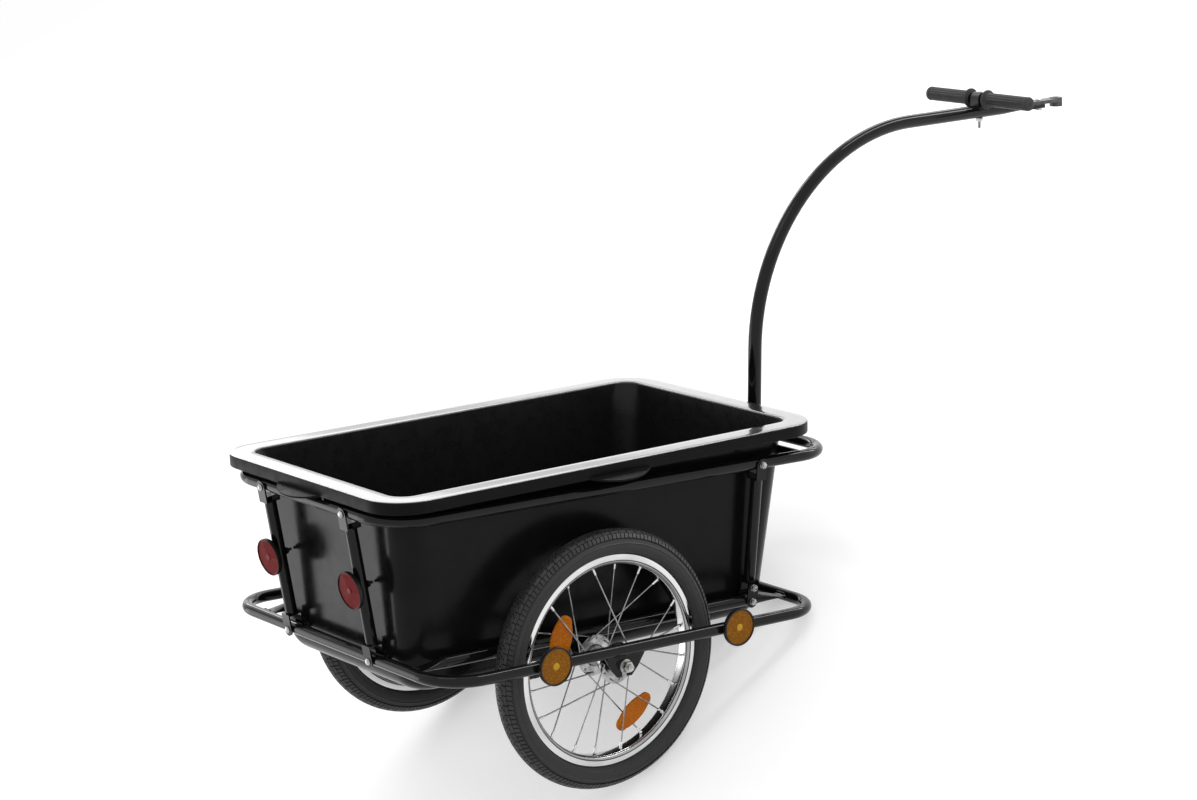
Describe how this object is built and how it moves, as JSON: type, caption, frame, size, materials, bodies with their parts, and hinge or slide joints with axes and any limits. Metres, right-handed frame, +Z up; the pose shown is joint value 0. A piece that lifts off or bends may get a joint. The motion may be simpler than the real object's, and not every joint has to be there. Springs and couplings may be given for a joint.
{
  "type": "bicycle trailer",
  "caption": "Open plastic tub on a round tube frame with two free-turning spoked wheels and a high bent drawbar with a T-handle, towed from a seat post.",
  "frame": {"origin": "on the floor under the middle of the parked trailer's outline", "axes": "+X forward, the way the trailer is towed; +Y to its left; +Z up. It is parked nose down on its two wheels and the front tube of its lower loop"},
  "size_m": [1.6502, 0.6126, 0.6288],
  "materials": {
    "tyre_rubber": "blocky tread, matte",
    "chrome": "bright chrome",
    "amber_reflector": "prismatic amber lens",
    "red_reflector": "prismatic red lens",
    "hub_metal": "bright metal",
    "grip_rubber": "ribbed rubber",
    "tub_plastic": "black plastic, shiny rim, light scratches inside",
    "zinc_steel": "zinc plated",
    "black_paint": "gloss black paint"
  },
  "bodies": {
    "trailer": {"axle_left": "zinc_steel", "axle_plate_inner_left": "black_paint", "axle_plate_inner_right": "black_paint", "axle_plate_outer_left": "black_paint", "axle_plate_outer_right": "black_paint", "axle_right": "zinc_steel", "coupling_tongue": "black_paint", "cross_tube": "black_paint", "drawbar": "black_paint", "frame_bolts": "zinc_steel", "handle_bar": "black_paint", "handle_bolt": "zinc_steel", "handle_clamp": "black_paint", "handle_grip_left": "grip_rubber", "handle_grip_right": "grip_rubber", "inner_tube_left": "black_paint", "inner_tube_right": "black_paint", "lower_loop_front": "black_paint", "lower_loop_rear": "black_paint", "rear_post_left": "black_paint", "rear_post_right": "black_paint", "rear_reflectors": "red_reflector", "side_post_left": "black_paint", "side_post_right": "black_paint", "side_reflectors_left": "amber_reflector", "side_reflectors_right": "amber_reflector", "tub": "tub_plastic", "upper_hoop": "black_paint"},
    "wheel_right": {"hub_right": "hub_metal", "rim_right": "chrome", "spoke_reflectors_right": "amber_reflector", "spokes_right": "chrome", "tyre_right": "tyre_rubber"},
    "wheel_left": {"hub_left": "hub_metal", "rim_left": "chrome", "spoke_reflectors_left": "amber_reflector", "spokes_left": "chrome", "tyre_left": "tyre_rubber"}
  },
  "joints": [
    {"name": "wheel_right_spin", "type": "hinge", "parent": "trailer", "child": "wheel_right", "pos_m": [-0.55616, -0.2435, 0.195], "axis": [0, 1, 0], "continuous": true},
    {"name": "wheel_left_spin", "type": "hinge", "parent": "trailer", "child": "wheel_left", "pos_m": [-0.55616, 0.2435, 0.195], "axis": [0, 1, 0], "continuous": true}
  ]
}
